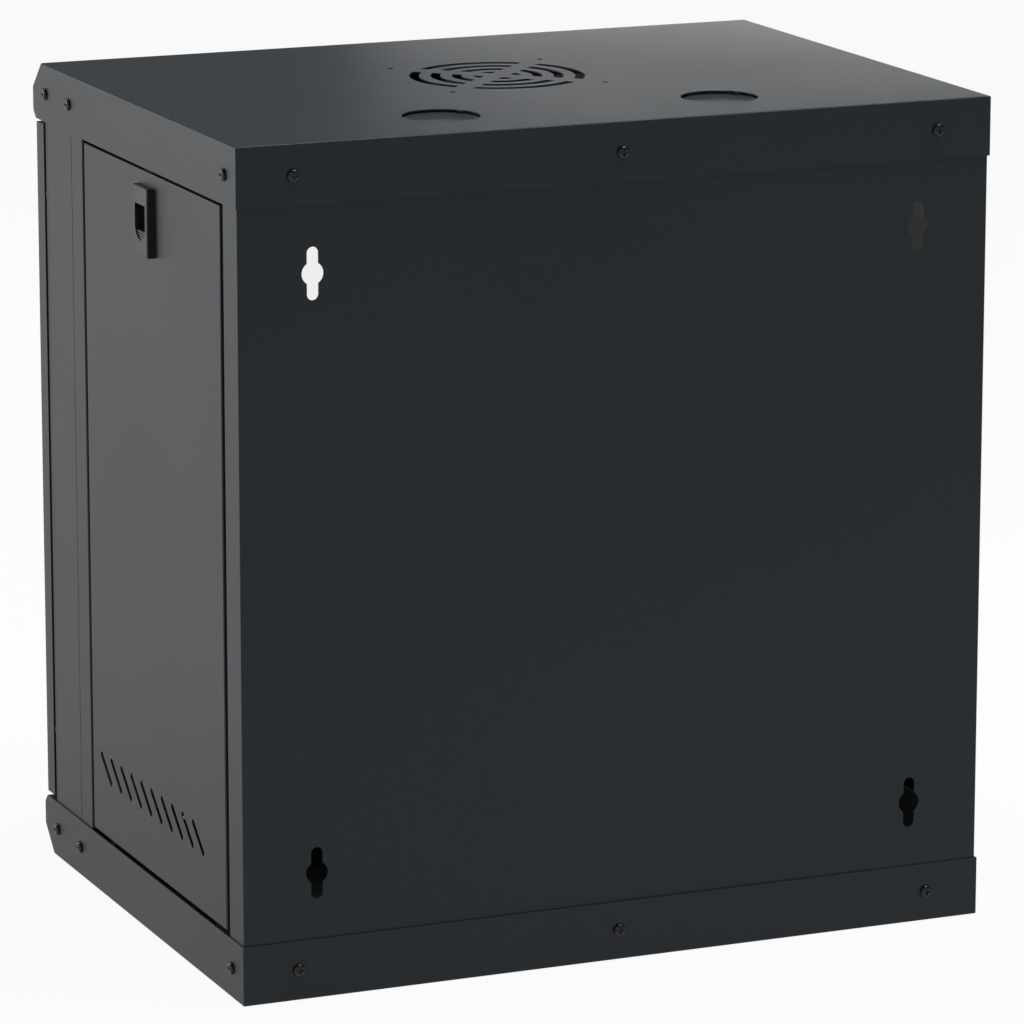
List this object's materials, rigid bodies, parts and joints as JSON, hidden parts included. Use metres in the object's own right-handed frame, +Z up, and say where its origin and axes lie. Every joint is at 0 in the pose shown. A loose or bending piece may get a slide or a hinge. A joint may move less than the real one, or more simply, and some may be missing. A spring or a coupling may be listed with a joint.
{
  "type": "wall mount network cabinet",
  "caption": "Wall mount steel cabinet for 19 inch network equipment, with a hinged glass front door, latched side panels, slotted covers, sliding rails and wall keyholes.",
  "frame": {"origin": "middle of the bottom cover's underside", "axes": "+X to the cabinet's right as seen from its front, -Y the door side, +Y the wall side, +Z up"},
  "size_m": [0.6096, 0.4526, 0.635],
  "materials": {
    "powder_coat": "satin black powder coat",
    "black_screws": "black, slightly glossy",
    "black_plastic": "fine satin texture",
    "white_plastic": "smooth",
    "rubber": "matte",
    "glass": "clear toughened glass",
    "rail_zinc": "zinc plated",
    "zinc": "zinc plated",
    "chrome": "polished",
    "brass": "plain"
  },
  "bodies": {
    "cabinet": {"top_cover": "powder_coat", "bottom_cover": "powder_coat", "rear_panel": "powder_coat", "front_post_left": "powder_coat", "front_post_right": "powder_coat", "depth_bracket_bottom_left": "powder_coat", "depth_bracket_bottom_right": "powder_coat", "depth_bracket_top_left": "powder_coat", "depth_bracket_top_right": "powder_coat", "cover_screws": "black_screws", "cover_nuts": "zinc", "door_buffers": "rubber", "earth_stud": "zinc", "earth_washer": "brass", "earth_nut": "brass"},
    "door": {"door_frame": "powder_coat", "door_glass": "glass", "glass_gasket": "rubber", "glass_clips": "zinc", "glass_clip_nuts": "zinc", "lock_body": "chrome", "lock_nut": "zinc", "hinge_plate_top": "powder_coat", "hinge_plate_bottom": "powder_coat", "lower_hinge_pin": "zinc", "hinge_washer": "white_plastic", "upper_hinge_spring": "zinc"},
    "lock_cylinder": {"lock_plug": "chrome", "lock_cam": "zinc", "lock_cam_screw": "zinc"},
    "hinge_pin": {"upper_hinge_pin": "zinc", "hinge_pin_ring": "zinc"},
    "side_panel_left": {"side_panel_left": "powder_coat", "latch_housing_left": "black_plastic", "latch_back_plate_left": "black_plastic", "latch_screws_left": "zinc"},
    "latch_left": {"latch_bolt_left": "black_plastic"},
    "rail_left": {"mounting_rail_left": "rail_zinc", "rail_screws_left": "zinc", "rail_nuts_left": "zinc"},
    "side_panel_right": {"side_panel_right": "powder_coat", "latch_housing_right": "black_plastic", "latch_back_plate_right": "black_plastic", "latch_screws_right": "zinc"},
    "latch_right": {"latch_bolt_right": "black_plastic"},
    "rail_right": {"mounting_rail_right": "rail_zinc", "rail_screws_right": "zinc", "rail_nuts_right": "zinc"}
  },
  "joints": [
    {"name": "door_hinge", "type": "hinge", "parent": "cabinet", "child": "door", "pos_m": [-0.2905, -0.21425, 0.3175], "axis": [0, 0, -1], "range_deg": [0, 170]},
    {"name": "lock_turn", "type": "hinge", "parent": "door", "child": "lock_cylinder", "pos_m": [0.246, -0.2, 0.3175], "axis": [0, 1, 0], "range_deg": [0, 90]},
    {"name": "hinge_pin_slide", "type": "slide", "parent": "door", "child": "hinge_pin", "axis": [0, 0, -1], "range_m": [0, 0.008], "stiffness_N_per_m": 500, "springref_m": -0.006, "deforming": ["upper_hinge_spring"]},
    {"name": "side_panel_right_tilt", "type": "hinge", "parent": "cabinet", "child": "side_panel_right", "pos_m": [0.2988, 0.0395, 0.046], "axis": [0, 1, 0], "range_deg": [0, 25]},
    {"name": "latch_right_slide", "type": "slide", "parent": "side_panel_right", "child": "latch_right", "axis": [0, 0, 1], "range_m": [0, 0.008]},
    {"name": "mounting_rail_right_slide", "type": "slide", "parent": "cabinet", "child": "rail_right", "axis": [0, 1, 0], "range_m": [0, 0.11]},
    {"name": "side_panel_left_tilt", "type": "hinge", "parent": "cabinet", "child": "side_panel_left", "pos_m": [-0.2988, 0.0395, 0.046], "axis": [0, -1, 0], "range_deg": [0, 25]},
    {"name": "latch_left_slide", "type": "slide", "parent": "side_panel_left", "child": "latch_left", "axis": [0, 0, 1], "range_m": [0, 0.008]},
    {"name": "mounting_rail_left_slide", "type": "slide", "parent": "cabinet", "child": "rail_left", "axis": [0, 1, 0], "range_m": [0, 0.11]}
  ]
}
